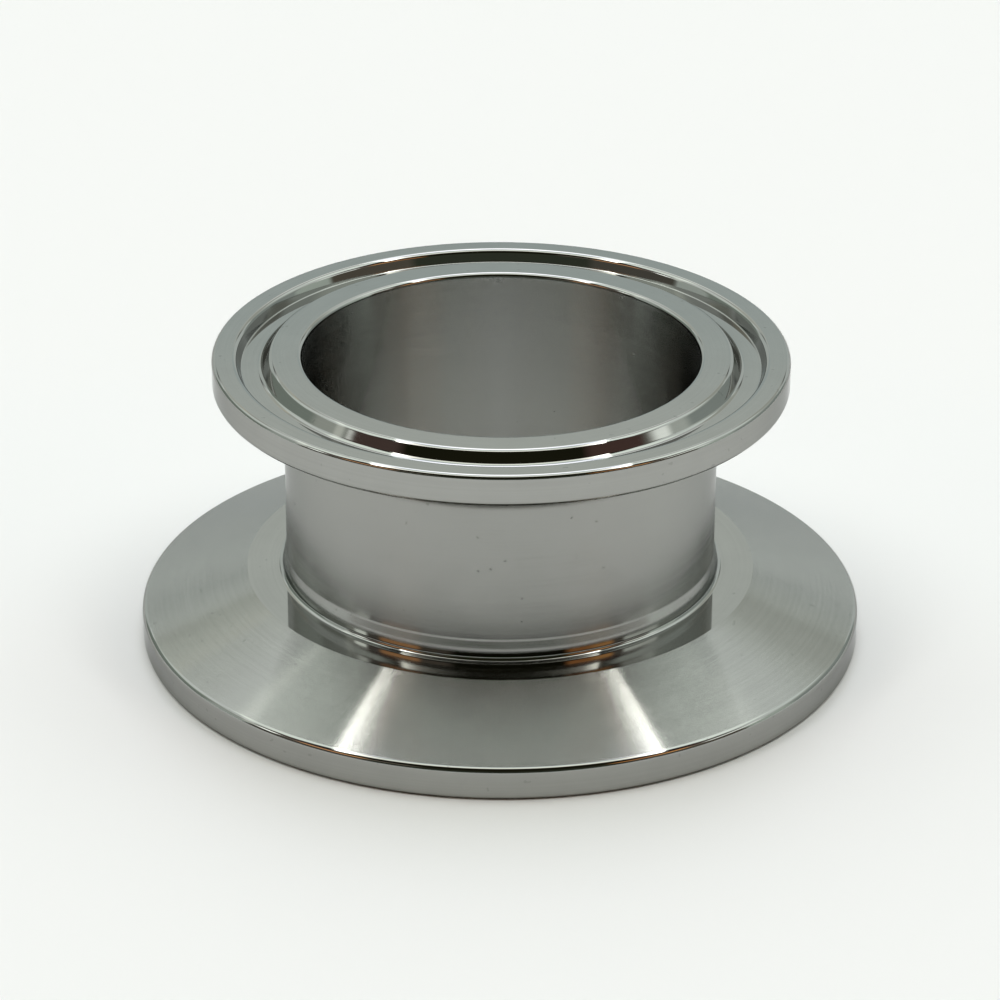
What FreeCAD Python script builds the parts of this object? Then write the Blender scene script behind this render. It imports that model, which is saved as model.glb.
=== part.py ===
import FreeCAD, Part
import math
import os

os.makedirs("parts", exist_ok=True)

# A sanitary clamp reducer, turned from stainless steel. It stands on its large sealing face,
# with the small flange on top. All lengths are in millimetres, with the origin at the middle
# of the large sealing face and +Z along the bore.

# Driving dimensions of the whole fitting
overall_height = 26.6
bore_radius = 17.4
bore_edge_flat = 0.25
tube_radius = 19.05
clamp_taper_deg = 20.0

# Small flange, on top: a 1.5 inch clamp end
small_flange_radius = 25.25
small_rim_height = 2.7
small_groove_radius = 21.65
under_flange_fillet = 2.0

# Large flange, at the bottom: a 2 inch clamp end
large_flange_radius = 32.0
large_rim_height = 2.85
large_groove_radius = 28.2

# Broken edges of both rims: at the sealing face, and where the clamp taper starts
rim_face_flat = 0.3
rim_taper_flat = 0.25

# Gasket groove, with the same section in both sealing faces. Its inner wall runs into the
# floor over a flat, and its outer wall meets the floor in a plain corner.
groove_width = 3.0
groove_depth = 1.1
groove_inner_wall_deg = 37.0
groove_outer_wall_deg = 22.0
groove_edge_flat = 0.2
groove_foot_flat = 0.3

# Hub of the large flange: a flat land inside the crest of the taper, and a turned foot
# that stands a little proud of the tube, with a soft top edge
crest_radius = 22.6
foot_proud = 0.26
foot_fillet = 0.4
foot_height = 1.0
foot_edge_round = 3.0
foot_blend_height = 0.85
foot_blend_round = 1.5

# How a corner of the outline is finished
SHARP = "sharp"
FLAT = "flat"
ROUND = "round"


def slope(degrees):
    return math.tan(math.radians(degrees))


def clamp_taper_rise(rim_radius, inner_radius):
    """Height that the clamp taper gains between the rim and a smaller radius."""
    return (rim_radius - inner_radius) * slope(clamp_taper_deg)


def hub_land_z():
    """Height of the flat land, which is also where the large clamp taper ends."""
    return large_rim_height + clamp_taper_rise(large_flange_radius, crest_radius)


def groove_corners(face_z, into_metal, middle_radius):
    """Gasket groove from its inner edge outwards. Each corner is a radius, height and finish."""
    inner_edge = middle_radius - groove_width / 2
    outer_edge = middle_radius + groove_width / 2
    floor_z = face_z + into_metal * groove_depth
    floor_inner = inner_edge + groove_depth * slope(groove_inner_wall_deg)
    floor_outer = outer_edge - groove_depth * slope(groove_outer_wall_deg)
    return [
        (inner_edge, face_z, FLAT, groove_edge_flat),
        (floor_inner, floor_z, FLAT, groove_foot_flat),
        (floor_outer, floor_z, SHARP, 0),
        (outer_edge, face_z, FLAT, groove_edge_flat),
    ]


def large_flange_corners():
    """Large flange from the bore outwards along its sealing face, then up and in to the crest."""
    face_z = 0.0
    corners = [(bore_radius, face_z, FLAT, bore_edge_flat)]
    corners += groove_corners(face_z, 1, large_groove_radius)
    corners += [
        (large_flange_radius, face_z, FLAT, rim_face_flat),
        (large_flange_radius, large_rim_height, FLAT, rim_taper_flat),
        (crest_radius, hub_land_z(), SHARP, 0),
    ]
    return corners


def foot_corners():
    """Foot of the tube: a fillet off the hub land, a short band, and a blend into the tube."""
    foot_radius = tube_radius + foot_proud
    band_top_z = hub_land_z() + foot_height
    return [
        (foot_radius, hub_land_z(), ROUND, foot_fillet),
        (foot_radius, band_top_z, ROUND, foot_edge_round),
        (tube_radius, band_top_z + foot_blend_height, ROUND, foot_blend_round),
    ]


def small_flange_corners():
    """Small flange from the tube out along its clamp taper, up the rim and in to the bore."""
    face_z = overall_height
    rim_z = face_z - small_rim_height
    taper_foot_z = rim_z - clamp_taper_rise(small_flange_radius, tube_radius)
    corners = [
        (tube_radius, taper_foot_z, ROUND, under_flange_fillet),
        (small_flange_radius, rim_z, FLAT, rim_taper_flat),
        (small_flange_radius, face_z, FLAT, rim_face_flat),
    ]
    corners += reversed(groove_corners(face_z, -1, small_groove_radius))
    corners.append((bore_radius, face_z, FLAT, bore_edge_flat))
    return corners


def outline_point(corner):
    return FreeCAD.Vector(corner[0], 0, corner[1])


def finished_corner(before, corner, after):
    """Points that stand for a corner: one if it is sharp, two for a flat, three for an arc."""
    point = outline_point(corner)
    back = (outline_point(before) - point).normalize()
    ahead = (outline_point(after) - point).normalize()
    finish, size = corner[2], corner[3]
    if finish == SHARP:
        return [point]
    if finish == FLAT:
        return [point + back * size, point + ahead * size]
    half_angle = back.getAngle(ahead) / 2
    cut_back = size / math.tan(half_angle)
    to_arc = size / math.sin(half_angle) - size
    middle = point + (back + ahead).normalize() * to_arc
    return [point + back * cut_back, middle, point + ahead * cut_back]


def turned_outline(corners):
    """Closed wire in the XZ plane, with each corner finished and straight lines between."""
    count = len(corners)
    finished = [finished_corner(corners[i - 1], corners[i], corners[(i + 1) % count]) for i in range(count)]
    edges = []
    for i, points in enumerate(finished):
        if len(points) == 2:
            edges.append(Part.makeLine(points[0], points[1]))
        if len(points) == 3:
            edges.append(Part.Arc(points[0], points[1], points[2]).toShape())
        edges.append(Part.makeLine(points[-1], finished[(i + 1) % count][0]))
    return Part.Wire(edges)


def reducer_body():
    """The whole fitting, turned about the Z axis."""
    outline = turned_outline(large_flange_corners() + foot_corners() + small_flange_corners())
    section = Part.Face(outline)
    return section.revolve(FreeCAD.Vector(0, 0, 0), FreeCAD.Vector(0, 0, 1), 360)


body = reducer_body()
body.exportStep("parts/reducer_body.step")
print("reducer_body valid", body.isValid(), "volume mm3", round(body.Volume, 1))
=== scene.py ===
import math

import bpy
from mathutils import Matrix, Vector


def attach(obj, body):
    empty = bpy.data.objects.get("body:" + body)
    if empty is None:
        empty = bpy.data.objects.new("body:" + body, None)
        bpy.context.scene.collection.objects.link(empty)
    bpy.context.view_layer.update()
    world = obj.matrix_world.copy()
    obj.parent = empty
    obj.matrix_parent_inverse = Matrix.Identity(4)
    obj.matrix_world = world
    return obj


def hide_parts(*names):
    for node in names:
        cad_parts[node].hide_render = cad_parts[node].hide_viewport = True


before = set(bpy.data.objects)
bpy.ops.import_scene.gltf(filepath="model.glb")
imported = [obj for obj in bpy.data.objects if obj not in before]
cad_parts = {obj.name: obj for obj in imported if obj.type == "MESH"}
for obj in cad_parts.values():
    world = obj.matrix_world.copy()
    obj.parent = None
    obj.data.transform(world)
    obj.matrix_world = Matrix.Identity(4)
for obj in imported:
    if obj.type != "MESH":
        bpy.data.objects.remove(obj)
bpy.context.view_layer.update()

MM = 0.001

# Sizes of the fitting in millimetres, the same as in the part's source
OVERALL_HEIGHT = 26.6
BORE_RADIUS = 17.4
TUBE_RADIUS = 19.05
CLAMP_TAPER_DEG = 20.0
SMALL_FLANGE_RADIUS = 25.25
SMALL_RIM_HEIGHT = 2.7
SMALL_GROOVE_RADIUS = 21.65
UNDER_FLANGE_FILLET = 2.0
LARGE_FLANGE_RADIUS = 32.0
LARGE_RIM_HEIGHT = 2.85
LARGE_GROOVE_RADIUS = 28.2
GROOVE_WIDTH = 3.0
GROOVE_DEPTH = 1.1
GROOVE_INNER_WALL_DEG = 37.0
GROOVE_OUTER_WALL_DEG = 22.0
CREST_RADIUS = 22.6
FOOT_PROUD = 0.26
FOOT_HEIGHT = 1.0
FOOT_BLEND_HEIGHT = 0.85

# Rounds at the foot of the tube. They move the surface by about 0.02 mm at most from that of
# the part's source. They weren't measured: a few sizes were tried and compared with the photo.
FOOT_FILLET = 0.45
FOOT_EDGE_ROUND = 1.8
FOOT_BLEND_ROUND = 1.0

# Rounds of the polished edges, which the solid has as small flats or leaves sharp
BORE_EDGE_ROUND = 0.4
GROOVE_EDGE_ROUND = 0.5
GROOVE_FOOT_ROUND = 0.6
GROOVE_CORNER_ROUND = 0.15
RIM_FACE_ROUND = 0.4
RIM_TAPER_ROUND = 0.6
CREST_ROUND = 0.1

# Mesh density
TURN_STEPS = 600
ARC_STEPS = 7

# Surface zones of the turned piece, in the order of its material slots
POLISHED = 0
TURNED = 1
BRUSHED_TUBE = 2
BRUSHED_BORE = 3

# Camera: fitted to the circles of the two flanges, the tube and the bore
CAMERA_PLACE_MM = (0.0, -323.714, 170.283)
CAMERA_LENS_MM = 146.05
CAMERA_SENSOR_MM = 36.0
CAMERA_PITCH_DEG = 26.043
CAMERA_ROLL_DEG = -0.297
# Half a pixel each way, as the fit counts from the middle of a pixel
CAMERA_SHIFT = (-0.0005, 0.0005)
CAMERA_NEAREST_M = 0.01
CAMERA_FARTHEST_M = 20.0


def slope(degrees):
    return math.tan(math.radians(degrees))


def groove_corners(face_z, into_metal, middle_radius):
    """Gasket groove from its inner edge outwards."""
    inner_edge = middle_radius - GROOVE_WIDTH / 2
    outer_edge = middle_radius + GROOVE_WIDTH / 2
    floor_z = face_z + into_metal * GROOVE_DEPTH
    floor_inner = inner_edge + GROOVE_DEPTH * slope(GROOVE_INNER_WALL_DEG)
    floor_outer = outer_edge - GROOVE_DEPTH * slope(GROOVE_OUTER_WALL_DEG)
    return [
        (inner_edge, face_z, GROOVE_EDGE_ROUND, POLISHED, POLISHED),
        (floor_inner, floor_z, GROOVE_FOOT_ROUND, POLISHED, POLISHED),
        (floor_outer, floor_z, GROOVE_CORNER_ROUND, POLISHED, POLISHED),
        (outer_edge, face_z, GROOVE_EDGE_ROUND, POLISHED, POLISHED),
    ]


def outline_corners():
    """Corners from the bore's lower edge outwards: radius, height, rounding, zone of the
    rounding, zone of the face that follows."""
    land_z = LARGE_RIM_HEIGHT + (LARGE_FLANGE_RADIUS - CREST_RADIUS) * slope(CLAMP_TAPER_DEG)
    foot_radius = TUBE_RADIUS + FOOT_PROUD
    band_top_z = land_z + FOOT_HEIGHT
    blend_top_z = band_top_z + FOOT_BLEND_HEIGHT
    rim_z = OVERALL_HEIGHT - SMALL_RIM_HEIGHT
    taper_foot_z = rim_z - (SMALL_FLANGE_RADIUS - TUBE_RADIUS) * slope(CLAMP_TAPER_DEG)
    corners = [(BORE_RADIUS, 0.0, BORE_EDGE_ROUND, POLISHED, POLISHED)]
    corners += groove_corners(0.0, 1, LARGE_GROOVE_RADIUS)
    corners += [
        (LARGE_FLANGE_RADIUS, 0.0, RIM_FACE_ROUND, POLISHED, POLISHED),
        (LARGE_FLANGE_RADIUS, LARGE_RIM_HEIGHT, RIM_TAPER_ROUND, POLISHED, TURNED),
        (CREST_RADIUS, land_z, CREST_ROUND, POLISHED, POLISHED),
        (foot_radius, land_z, FOOT_FILLET, POLISHED, POLISHED),
        (foot_radius, band_top_z, FOOT_EDGE_ROUND, BRUSHED_TUBE, BRUSHED_TUBE),
        (TUBE_RADIUS, blend_top_z, FOOT_BLEND_ROUND, BRUSHED_TUBE, BRUSHED_TUBE),
        (TUBE_RADIUS, taper_foot_z, UNDER_FLANGE_FILLET, BRUSHED_TUBE, TURNED),
        (SMALL_FLANGE_RADIUS, rim_z, RIM_TAPER_ROUND, POLISHED, POLISHED),
        (SMALL_FLANGE_RADIUS, OVERALL_HEIGHT, RIM_FACE_ROUND, POLISHED, POLISHED),
    ]
    corners += reversed(groove_corners(OVERALL_HEIGHT, -1, SMALL_GROOVE_RADIUS))
    corners.append((BORE_RADIUS, OVERALL_HEIGHT, BORE_EDGE_ROUND, POLISHED, BRUSHED_BORE))
    return corners


def rounded(before, corner, after):
    """Points and outward normals along one rounded corner."""
    point = Vector(corner[:2])
    back = (Vector(before[:2]) - point).normalized()
    ahead = (Vector(after[:2]) - point).normalized()
    half_angle = back.angle(ahead) / 2
    start = point + back * corner[2] / math.tan(half_angle)
    centre = point + (back + ahead).normalized() * corner[2] / math.sin(half_angle)
    # The outline runs with the metal on its left, so a left turn is a convex edge
    convex = back.x * ahead.y - back.y * ahead.x < 0
    side = 1 if convex else -1
    sweep = side * (math.pi - 2 * half_angle)
    arm = start - centre
    made = []
    for k in range(ARC_STEPS + 1):
        turned = Matrix.Rotation(sweep * k / ARC_STEPS, 2) @ arm
        made.append((centre + turned, turned.normalized() * side))
    return made


def outline():
    """The whole closed outline as (radius, height, normal, zone of the face that follows)."""
    corners = outline_corners()
    count = len(corners)
    made = []
    for i, corner in enumerate(corners):
        arc = rounded(corners[i - 1], corner, corners[(i + 1) % count])
        arc_zone, next_zone = corner[3], corner[4]
        for k, (place, normal) in enumerate(arc):
            zone = next_zone if k == ARC_STEPS else arc_zone
            made.append((place.x * MM, place.y * MM, normal, zone))
    return made


def turned_piece(name):
    """The fitting as one mesh, turned about Z, with exact normals."""
    ring = outline()
    count = len(ring)
    verts, normals, faces, zones = [], [], [], []
    for step in range(TURN_STEPS):
        angle = 2 * math.pi * step / TURN_STEPS
        c, s = math.cos(angle), math.sin(angle)
        for radius, height, normal, zone in ring:
            verts.append((radius * c, radius * s, height))
            normals.append((normal.x * c, normal.x * s, normal.y))
    for step in range(TURN_STEPS):
        here = step * count
        there = ((step + 1) % TURN_STEPS) * count
        for k in range(count):
            ahead = (k + 1) % count
            faces.append((here + k, there + k, there + ahead, here + ahead))
            zones.append(ring[k][3])
    mesh = bpy.data.meshes.new(name)
    mesh.from_pydata(verts, [], faces)
    mesh.polygons.foreach_set("use_smooth", [True] * len(faces))
    mesh.polygons.foreach_set("material_index", zones)
    mesh.normals_split_custom_set_from_vertices(normals)
    piece = bpy.data.objects.new(name, mesh)
    bpy.context.collection.objects.link(piece)
    return piece


# Building blocks of the shaders


def put(socket, value):
    """Links a socket, or sets a plain value."""
    if isinstance(value, bpy.types.NodeSocket):
        socket.id_data.links.new(value, socket)
    else:
        socket.default_value = value


def calc(tree, operation, *values):
    node = tree.nodes.new("ShaderNodeMath")
    node.operation = operation
    for socket, value in zip(node.inputs, values):
        put(socket, value)
    return node.outputs[0]


def product(tree, result, *others):
    for other in others:
        result = calc(tree, "MULTIPLY", result, other)
    return result


def total(tree, result, *others):
    for other in others:
        result = calc(tree, "ADD", result, other)
    return result


def vector_calc(tree, operation, *values):
    node = tree.nodes.new("ShaderNodeVectorMath")
    node.operation = operation
    for socket, value in zip(node.inputs, values):
        put(socket, value)
    return node.outputs[0]


def scaled(tree, vector, factor):
    node = tree.nodes.new("ShaderNodeVectorMath")
    node.operation = "SCALE"
    put(node.inputs[0], vector)
    put(node.inputs["Scale"], factor)
    return node.outputs[0]


def combine(tree, x, y, z):
    node = tree.nodes.new("ShaderNodeCombineXYZ")
    for socket, value in zip(node.inputs, (x, y, z)):
        put(socket, value)
    return node.outputs[0]


def split(tree, vector):
    node = tree.nodes.new("ShaderNodeSeparateXYZ")
    put(node.inputs[0], vector)
    return node.outputs


def object_place(tree):
    return tree.nodes.new("ShaderNodeTexCoord").outputs["Object"]


def step_up(tree, value, low, high, out_low=0.0, out_high=1.0):
    """Rises smoothly from out_low to out_high while value goes from low to high."""
    node = tree.nodes.new("ShaderNodeMapRange")
    node.interpolation_type = "SMOOTHSTEP"
    put(node.inputs["Value"], value)
    node.inputs["From Min"].default_value = low
    node.inputs["From Max"].default_value = high
    node.inputs["To Min"].default_value = out_low
    node.inputs["To Max"].default_value = out_high
    return node.outputs["Result"]


def band(tree, value, low, high, soft):
    """1 between low and high, falling to 0 outside over soft."""
    rise = step_up(tree, value, low - soft, low + soft)
    fall = step_up(tree, value, high - soft, high + soft, 1.0, 0.0)
    return product(tree, rise, fall)


def grey(level):
    return (level, level, level, 1.0)


def mix_colour(tree, factor, under, over):
    node = tree.nodes.new("ShaderNodeMix")
    node.data_type = "RGBA"
    put(node.inputs["Factor"], factor)
    put(node.inputs["A"], under)
    put(node.inputs["B"], over)
    return node.outputs["Result"]


def noise(tree, vector, scale, detail, roughness):
    node = tree.nodes.new("ShaderNodeTexNoise")
    put(node.inputs["Vector"], vector)
    node.inputs["Scale"].default_value = scale
    node.inputs["Detail"].default_value = detail
    node.inputs["Roughness"].default_value = roughness
    return node.outputs["Fac"]


# Steel. Each finish is a brushed or polished metal whose lines run round the axis, with fine
# turning lines, soft mottling and small specks of wear. Scales are in noise cells per metre.

STEEL_COLOUR = (0.352, 0.354, 0.338)
# Part of the plain rise of a metal's reflection towards its edges that this steel has
EDGE_TINT = 0.63
# Turns the wide side of each reflection across the lines
ACROSS_THE_LINES = 0.25

# How fast the lines change on the way round, in noise cells per radian
LINE_DRIFT = 0.6
RIPPLE_DRIFT = 0.4
RIPPLE_SCALE = 2200.0

MOTTLING_SCALE = 260.0
MOTTLING_TONE = 0.02
ROUGHNESS_CHANGE = 0.10
# The values that a noise mostly stays between
NOISE_LOW = 0.3
NOISE_HIGH = 0.7

# A speck is where its noise rises from the start to the start plus the edge
SPECK_SCALE = 1300.0
SPECK_START = 0.74
SPECK_EDGE = 0.03
SPECK_DARKENING = 0.14
SPECK_ROUGHNESS = 0.08


def turning_lines(tree, scale, drift):
    """Fine lines round the axis, as a tool or a belt leaves them, that change slowly on the way."""
    x, y, z = split(tree, object_place(tree))
    radius = calc(tree, "SQRT", total(tree, product(tree, x, x), product(tree, y, y)))
    turn = calc(tree, "ARCTAN2", y, x)
    across = product(tree, radius, scale)
    up = product(tree, z, scale)
    along = product(tree, turn, drift)
    return noise(tree, combine(tree, across, up, along), scale=1.0, detail=3.0, roughness=0.6)


def mottling(tree):
    return noise(tree, object_place(tree), MOTTLING_SCALE, detail=4.0, roughness=0.6)


def specks(tree):
    """Sparse small marks: 1 in a mark, 0 elsewhere."""
    cells = noise(tree, object_place(tree), SPECK_SCALE, detail=1.0, roughness=0.5)
    return step_up(tree, cells, SPECK_START, SPECK_START + SPECK_EDGE)


def around_one(tree, value, part):
    """A factor that goes from 1 - part to 1 + part while a noise goes from low to high."""
    return step_up(tree, value, NOISE_LOW, NOISE_HIGH, 1.0 - part, 1.0 + part)


def dust(tree):
    """A random value at each point, too fine to see, between -1.5 and 1.5 and mostly near 0."""
    node = tree.nodes.new("ShaderNodeTexWhiteNoise")
    node.noise_dimensions = "3D"
    put(node.inputs["Vector"], object_place(tree))
    one, two, three = split(tree, node.outputs["Color"])
    return calc(tree, "SUBTRACT", total(tree, one, two, three), 1.5)


def tilted_normal(tree, spread, ripple):
    """Normal tilted by turning marks, only across the marks: a spread too fine to see, that smears
    reflections across the marks and leaves them sharp along them, and a visible ripple."""
    normal = tree.nodes.new("ShaderNodeNewGeometry").outputs["Normal"]
    tangent = tree.nodes.new("ShaderNodeTangent")
    tangent.direction_type = "RADIAL"
    tangent.axis = "Z"
    round_it = tangent.outputs[0]
    waves = calc(tree, "SUBTRACT", turning_lines(tree, RIPPLE_SCALE, RIPPLE_DRIFT), 0.5)
    tilt = total(tree, product(tree, dust(tree), spread), product(tree, waves, ripple))
    shift = scaled(tree, vector_calc(tree, "CROSS_PRODUCT", normal, round_it), tilt)
    tilted = vector_calc(tree, "ADD", normal, shift)
    return vector_calc(tree, "NORMALIZE", tilted), round_it


def steel(name, roughness, anisotropy, line_scale, line_tone, spread, ripple, painted_light_gain=1.0):
    """A metal whose tangent runs round the axis. Lines, mottling and specks change its tone and
    its roughness. The gain scales its colour: above 1 it paints light in, as a brighter copy of
    the same steel."""
    material = bpy.data.materials.new(name)
    material.use_nodes = True
    tree = material.node_tree
    shader = tree.nodes["Principled BSDF"]
    shader.inputs["Metallic"].default_value = 1.0
    shader.inputs["Specular Tint"].default_value = grey(EDGE_TINT)
    shader.inputs["Anisotropic"].default_value = anisotropy
    shader.inputs["Anisotropic Rotation"].default_value = ACROSS_THE_LINES
    normal, tangent = tilted_normal(tree, spread, ripple)
    put(shader.inputs["Normal"], normal)
    put(shader.inputs["Tangent"], tangent)

    lines = turning_lines(tree, line_scale, LINE_DRIFT)
    cloud = mottling(tree)
    marks = specks(tree)
    unmarked = calc(tree, "SUBTRACT", 1.0, product(tree, marks, SPECK_DARKENING))
    lined = around_one(tree, lines, line_tone)
    clouded = around_one(tree, cloud, MOTTLING_TONE)
    # A gain above 1 is painted light: the same steel's colour made brighter
    tone = product(tree, lined, clouded, unmarked, painted_light_gain)
    put(shader.inputs["Base Color"], scaled(tree, STEEL_COLOUR, tone))

    lined = around_one(tree, lines, ROUGHNESS_CHANGE)
    clouded = around_one(tree, cloud, ROUGHNESS_CHANGE)
    rough = product(tree, lined, clouded, roughness)
    put(shader.inputs["Roughness"], total(tree, rough, product(tree, marks, SPECK_ROUGHNESS)))
    return material


def polished_steel():
    return steel(
        "polished_steel", roughness=0.05, anisotropy=0.2, line_scale=5000.0, line_tone=0.02,
        spread=0.0, ripple=0.006)


def turned_steel():
    return steel(
        "turned_steel", roughness=0.14, anisotropy=1.0, line_scale=5000.0, line_tone=0.03,
        spread=0.45, ripple=0.02)


def brushed_tube_steel():
    return steel(
        "brushed_tube_steel", roughness=0.18, anisotropy=1.0, line_scale=6000.0, line_tone=0.03,
        spread=0.0, ripple=0.01)


def brushed_bore_steel():
    # The bore's steel has its colour raised by a gain of 1.32: painted light inside the bore
    return steel(
        "brushed_bore_steel", roughness=0.18, anisotropy=1.0, line_scale=6000.0, line_tone=0.04,
        spread=0.42, ripple=0.02, painted_light_gain=1.32)


# Surroundings: walls and lamps painted by direction, with all angles in degrees. Each row is
# where a tone starts, over how many degrees either way it comes in, and the tone. These tones are
# no example to follow. They go back to a program that fitted 48 lights to the photo: some are
# still its numbers, and the others were changed from there. Nor is the light plain.
DARK = (0.02, 0.02, 0.01)
BLACK = (0.0, 0.0, 0.0)

# Walls by azimuth: 0 is towards the front, 90 to the right, 180 at the back. The back wall and
# the two back corners start at these azimuths, on both sides.
WALL_REACH = 180.0
BACK_WALL = 168
BACK_CORNER = 143
LOW_WALL = [
    (-WALL_REACH, 0, (0.80, 0.91, 0.90)),
    (-BACK_WALL, 2, (0.95, 1.03, 0.99)),
    (-BACK_CORNER, 2, (0.37, 0.43, 0.38)),
    (-100, 1, (0.66, 0.73, 0.68)),
    (-82, 1, (0.13, 0.12, 0.10)),
    (-40, 2, (0.06, 0.07, 0.05)),
    (40, 2, (0.16, 0.14, 0.11)),
    (80, 1, (0.71, 0.81, 0.73)),
    (100, 1, (0.47, 0.53, 0.50)),
    (BACK_CORNER, 2, (1.00, 1.08, 1.05)),
    (BACK_WALL, 2, (0.80, 0.91, 0.90)),
]
# The hub land mirrors this one by way of the foot of the tube, with its two warm stretches
WARM_WALL = [
    (-WALL_REACH, 0, (0.95, 1.01, 0.96)),
    (-BACK_WALL, 2, BLACK),
    (-BACK_CORNER, 2, (1.12, 1.22, 1.14)),
    (-112, 3, (0.62, 0.66, 0.60)),
    (-83, 0.8, (3.10, 3.25, 3.10)),
    (-75, 0.8, (0.30, 0.27, 0.24)),
    (-66, 1.5, (1.35, 0.70, 0.33)),
    (-43, 1.5, (0.26, 0.22, 0.18)),
    (-26, 3, DARK),
    (36, 2, (0.95, 0.40, 0.14)),
    (50, 3, (1.40, 0.70, 0.26)),
    (62, 1.5, (0.30, 0.27, 0.23)),
    (69, 1.2, (1.75, 1.84, 1.75)),
    (92, 1.5, (0.80, 0.86, 0.80)),
    (BACK_CORNER, 2, BLACK),
    (BACK_WALL, 2, (0.95, 1.01, 0.96)),
]
# The near wall of the gasket groove mirrors this one, dark in front and with a lamp each side
LAMP_WALL = [
    (-WALL_REACH, 0, (1.83, 1.94, 1.90)),
    (-BACK_WALL, 2, BLACK),
    (-BACK_CORNER, 2, (1.24, 1.32, 1.28)),
    (-112, 1.5, (1.00, 1.07, 1.03)),
    (-105, 0.8, (1.10, 1.17, 1.14)),
    (-95, 1.0, (0.90, 0.95, 0.88)),
    (-89, 1.5, (0.12, 0.08, 0.07)),
    (-55, 3, DARK),
    (48, 3, (0.12, 0.07, 0.06)),
    (78, 1.5, (0.24, 0.23, 0.20)),
    (90, 1.5, (1.12, 1.19, 1.15)),
    (113, 2, (1.23, 1.35, 1.29)),
    (BACK_CORNER, 2, BLACK),
    (BACK_WALL, 2, (1.83, 1.94, 1.90)),
]
HIGH_WALL = [
    (-WALL_REACH, 0, (1.51, 1.31, 1.31)),
    (-BACK_WALL, 2, BLACK),
    (-BACK_CORNER, 2, (1.69, 1.83, 1.71)),
    (-84, 2, DARK),
    (84, 2, (1.73, 1.88, 1.77)),
    (BACK_CORNER, 2, BLACK),
    (BACK_WALL, 2, (1.51, 1.31, 1.31)),
]
# Each wall with the elevation at which it takes over from the one below, and over how many
# degrees either way, and then where the last one ends
WALLS = [
    (24, 1.5, WARM_WALL),
    (33, 1.5, LAMP_WALL),
    (48, 2, HIGH_WALL),
]
WALL_TOP = (68, 2)

# Lamps overhead by fan angle. A turned surface gathers a fan of directions into one radial
# line, and the fan angle tells where on the fitting that line falls.
FAN_REACH = 45.0
LAMP_LEFT = -25.1
LAMP_RIGHT = 25.3
FAINT_STRIP = [
    (-FAN_REACH, 0, BLACK),
    (-42.0, 0.5, (0.35, 0.35, 0.32)),
    (-39.6, 0.5, BLACK),
]
STRIP_EDGE = (8.7, 8.6, 8.1)
STRIP_MIDDLE = (5.7, 5.7, 5.4)
STRIP_FADE = (2.9, 2.8, 2.6)
GAP_EDGE = (5.00, 4.90, 4.60)
GAP_FADE = (2.80, 2.80, 2.70)


def strip_lamp(middle):
    """A lamp with a strong strip along both sides of its middle tone."""
    return FAINT_STRIP + [
        (LAMP_LEFT, 0.3, STRIP_EDGE),
        (-23.4, 0.7, STRIP_MIDDLE),
        (-21.8, 0.8, STRIP_FADE),
        (-19.0, 1.5, middle),
        (19.2, 1.5, STRIP_FADE),
        (22.0, 0.8, STRIP_MIDDLE),
        (23.6, 0.7, STRIP_EDGE),
        (LAMP_RIGHT, 0.3, BLACK),
    ]


FRONT_LAMP = strip_lamp((2.15, 2.15, 1.95))
NEAR_LAMP = strip_lamp((1.45, 1.65, 1.55))
GAP_LAMP = FAINT_STRIP + [
    (LAMP_LEFT, 0.3, GAP_EDGE),
    (-23.4, 0.8, GAP_FADE),
    (-21.2, 1.0, (0.80, 0.80, 0.82)),
    (21.4, 1.0, GAP_FADE),
    (23.6, 0.8, GAP_EDGE),
    (LAMP_RIGHT, 0.3, BLACK),
]
FAR_LAMP = FAINT_STRIP + [
    (LAMP_LEFT, 0.3, (3.20, 3.40, 3.60)),
    (-23.4, 0.8, (2.30, 2.40, 2.60)),
    (-20.2, 1.0, (2.40, 2.55, 2.90)),
    (20.4, 1.0, (2.00, 2.10, 2.60)),
    (23.6, 0.8, (4.50, 4.70, 4.70)),
    (LAMP_RIGHT, 0.3, BLACK),
]
# Each lamp with the pitch at which it takes over: 90 is straight up, 180 is at the back
LAMPS = [
    (71, 1.5, FRONT_LAMP),
    (84, 1.5, NEAR_LAMP),
    (98, 1.5, GAP_LAMP),
    (109, 1.5, FAR_LAMP),
]
LAMP_END = (132, 1.5)

# Upper part of the back corners, by fan angle
CORNER_REACH = 90.0
CORNER_SOFT = 0.35
CORNERS = [
    (-CORNER_REACH, 0, BLACK),
    (-79, 0.6, (1.13, 1.20, 1.18)),
    (-66, 1.5, (0.86, 0.90, 0.82)),
    (-57.5, 0.7, (1.05, 1.02, 0.85)),
    (-55.5, 0.7, (0.76, 0.79, 0.73)),
    (-47, 2.0, (0.98, 1.01, 0.98)),
    (LAMP_LEFT, CORNER_SOFT, BLACK),
    (LAMP_RIGHT, CORNER_SOFT, (0.93, 0.95, 0.93)),
    (51, 2.0, (0.72, 0.75, 0.68)),
    (66, 1.5, (0.84, 0.90, 0.84)),
    (79, 0.6, BLACK),
]
# Where the corners begin and end, by azimuth and by pitch, and how softly
CORNER_TURN = (BACK_CORNER, BACK_WALL, 2)
CORNER_PITCH = (100, 153, 1.5)

# The camera stands near, which widens the fan by about the taper's middle radius over the
# distance to the camera
NEARNESS = 0.072

# A ramp holds tones up to 1, so tones are divided by this and scaled up again
TOP_TONE = 10.0


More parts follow.
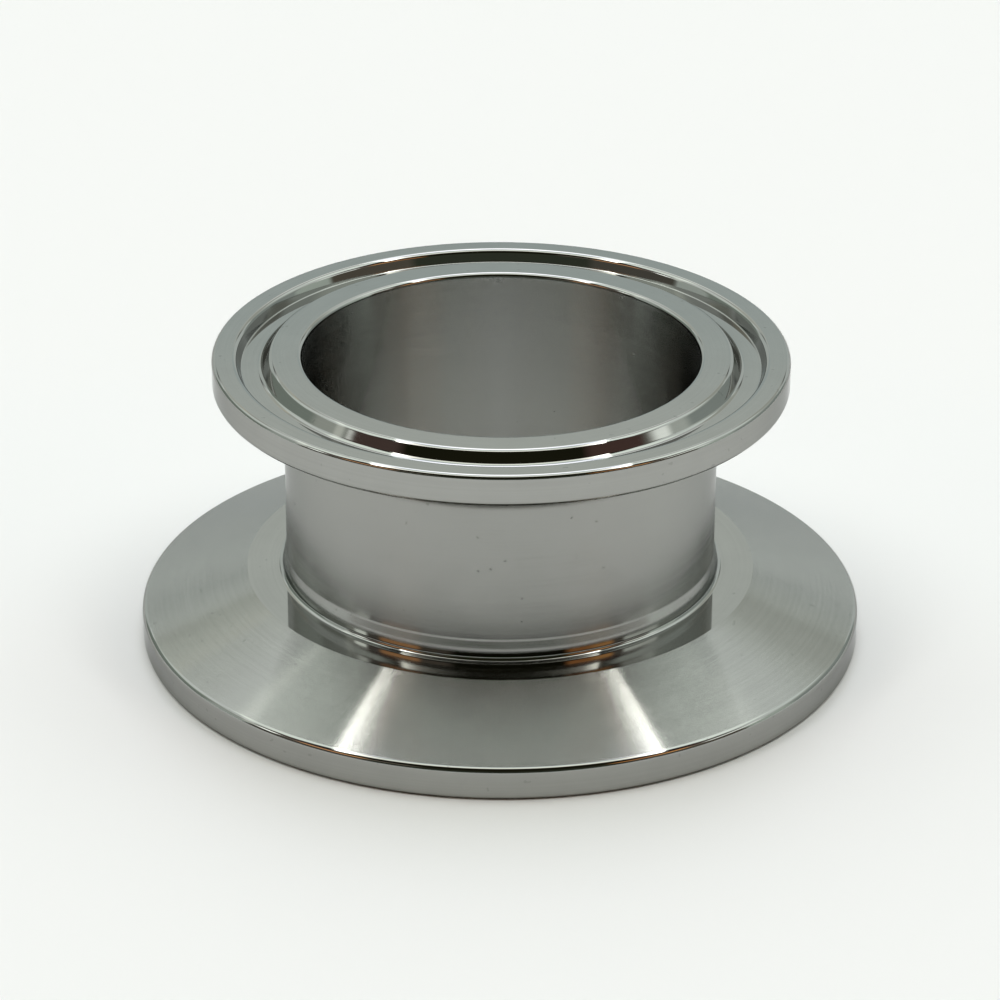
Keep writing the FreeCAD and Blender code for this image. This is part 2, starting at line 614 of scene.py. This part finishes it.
def toned(tree, angle, reach, rows):
    """The tones of rows, along an angle that runs from -reach to reach."""
    node = tree.nodes.new("ShaderNodeValToRGB")
    put(node.inputs[0], total(tree, product(tree, angle, 0.5 / reach), 0.5))
    stops = node.color_ramp.elements
    before = [part / TOP_TONE for part in rows[0][2]] + [1.0]
    stops[0].color = before
    stops[1].color = [part / TOP_TONE for part in rows[-1][2]] + [1.0]
    for start, soft, tone in rows[1:]:
        after = [part / TOP_TONE for part in tone] + [1.0]
        for place, colour in ((start - soft, before), (start + soft, after)):
            stops.new(place * 0.5 / reach + 0.5).color = colour
        before = after
    return node.outputs["Color"]


def stacked(tree, across, reach, up, lowest, layers, end):
    """Layers painted along one angle, each of which takes over from the last along another."""
    colour = lowest
    for start, soft, rows in layers:
        above = step_up(tree, up, start - soft, start + soft)
        colour = mix_colour(tree, above, colour, toned(tree, across, reach, rows))
    start, soft = end
    return mix_colour(tree, step_up(tree, up, start - soft, start + soft), colour, grey(0.0))


def corner_light(tree, azimuth, fan, pitch):
    """The upper part of the back corners, which lie at the same azimuths on both sides."""
    aside = band(tree, calc(tree, "ABSOLUTE", azimuth), *CORNER_TURN)
    in_corner = product(tree, aside, band(tree, pitch, *CORNER_PITCH))
    return mix_colour(tree, in_corner, grey(0.0), toned(tree, fan, CORNER_REACH, CORNERS))


def studio_world():
    world = bpy.data.worlds.new("studio")
    bpy.context.scene.world = world
    world.use_nodes = True
    tree = world.node_tree
    direction = tree.nodes.new("ShaderNodeTexCoord").outputs["Generated"]
    x, y, z = split(tree, direction)
    to_front = product(tree, y, -1.0)
    azimuth = calc(tree, "DEGREES", calc(tree, "ARCTAN2", x, to_front))
    elevation = calc(tree, "DEGREES", calc(tree, "ARCSINE", z))
    pitch = calc(tree, "DEGREES", calc(tree, "ARCTAN2", z, to_front))
    to_camera = math.cos(math.radians(CAMERA_PITCH_DEG)) + NEARNESS
    fan = calc(tree, "DEGREES", calc(tree, "ARCTAN2", x, total(tree, to_front, to_camera)))

    low_wall = toned(tree, azimuth, WALL_REACH, LOW_WALL)
    walls = stacked(tree, azimuth, WALL_REACH, elevation, low_wall, WALLS, WALL_TOP)
    lamps = stacked(tree, fan, FAN_REACH, pitch, grey(0.0), LAMPS, LAMP_END)
    corners = corner_light(tree, azimuth, fan, pitch)
    light = vector_calc(tree, "ADD", vector_calc(tree, "ADD", walls, lamps), corners)
    background = tree.nodes["Background"]
    put(background.inputs["Color"], light)
    background.inputs["Strength"].default_value = TOP_TONE


FLOOR_RADIUS = 3.0
FLOOR_SIDES = 128
FLOOR_COLOUR = (0.84, 0.835, 0.845)
FLOOR_ROUGHNESS = 0.9
FLOOR_SHINE = 0.1


def floor():
    bpy.ops.mesh.primitive_circle_add(vertices=FLOOR_SIDES, radius=FLOOR_RADIUS, fill_type="NGON")
    ground = bpy.context.object
    ground.name = "floor"
    material = bpy.data.materials.new("floor_paper")
    material.use_nodes = True
    shader = material.node_tree.nodes["Principled BSDF"]
    shader.inputs["Base Color"].default_value = (*FLOOR_COLOUR, 1.0)
    shader.inputs["Roughness"].default_value = FLOOR_ROUGHNESS
    shader.inputs["Specular IOR Level"].default_value = FLOOR_SHINE
    ground.data.materials.append(material)


def camera():
    data = bpy.data.cameras.new("camera")
    data.lens = CAMERA_LENS_MM
    data.sensor_width = CAMERA_SENSOR_MM
    data.shift_x, data.shift_y = CAMERA_SHIFT
    data.clip_start = CAMERA_NEAREST_M
    data.clip_end = CAMERA_FARTHEST_M
    eye = bpy.data.objects.new("camera", data)
    bpy.context.collection.objects.link(eye)
    pitch = Matrix.Rotation(math.radians(-CAMERA_PITCH_DEG), 3, "X")
    roll = Matrix.Rotation(math.radians(CAMERA_ROLL_DEG), 3, "Y")
    turn = pitch @ roll
    right, ahead, up = turn.col[0], turn.col[1], turn.col[2]
    axes = Matrix((right, up, -ahead)).transposed().to_4x4()
    eye.matrix_world = Matrix.Translation(Vector(CAMERA_PLACE_MM) * MM) @ axes
    bpy.context.scene.camera = eye


piece = turned_piece("reducer_steel")
for made in (polished_steel(), turned_steel(), brushed_tube_steel(), brushed_bore_steel()):
    piece.data.materials.append(made)
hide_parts("reducer_body")
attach(piece, "root")

studio_world()
floor()
camera()
bpy.context.scene.view_settings.view_transform = "Standard"
